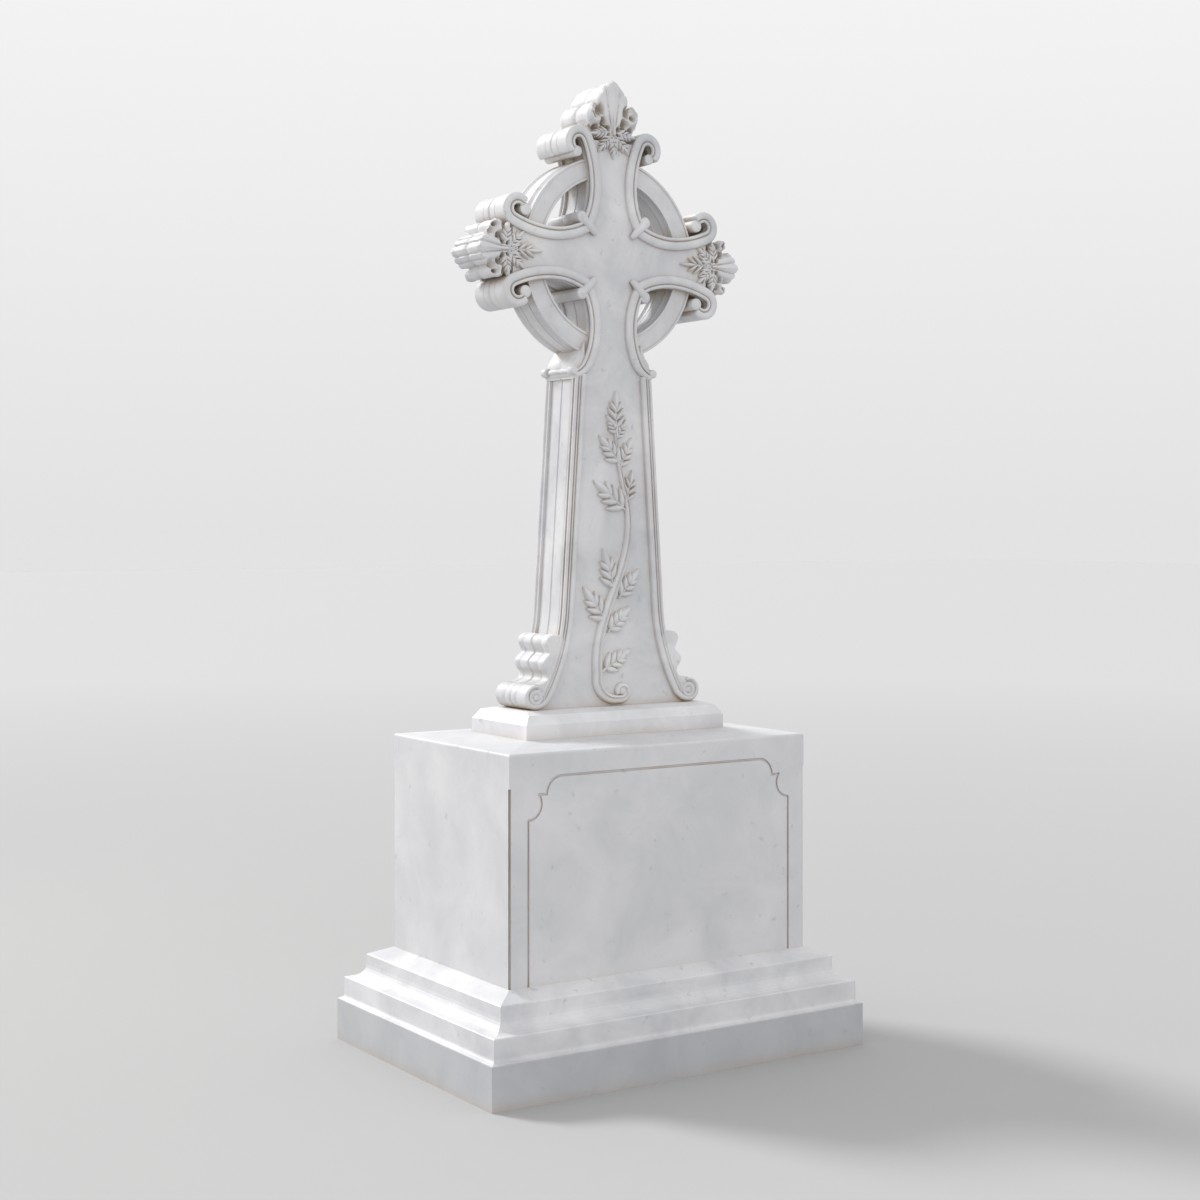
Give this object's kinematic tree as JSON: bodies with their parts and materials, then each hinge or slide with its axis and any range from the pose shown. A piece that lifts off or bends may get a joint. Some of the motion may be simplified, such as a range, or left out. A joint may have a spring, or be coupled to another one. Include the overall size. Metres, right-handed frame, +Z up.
{
  "type": "celtic cross gravestone",
  "caption": "Carved white marble Celtic cross gravestone: ringed cross with scrolled mouldings, leaf crests and a climbing vine, on a foot slab, a panelled die and a moulded plinth.",
  "frame": {"origin": "middle of the plinth's underside, on the ground", "axes": "+X to the viewer's right along the width, -Y out of the carved front with the vine, +Z up"},
  "size_m": [1.246, 0.896, 2.798],
  "materials": {
    "base_plinth": "honed white marble with soft blue-grey clouds",
    "die_block": "honed white marble, a little grey in the field, warm in the cut lines",
    "foot_slab": "honed white marble",
    "cross": "rubbed white marble, warm grey-tan in the recesses"
  },
  "bodies": {
    "root": {"base_plinth": "base_plinth", "die_block": "die_block", "foot_slab": "foot_slab", "cross": "cross"}
  },
  "joints": []
}
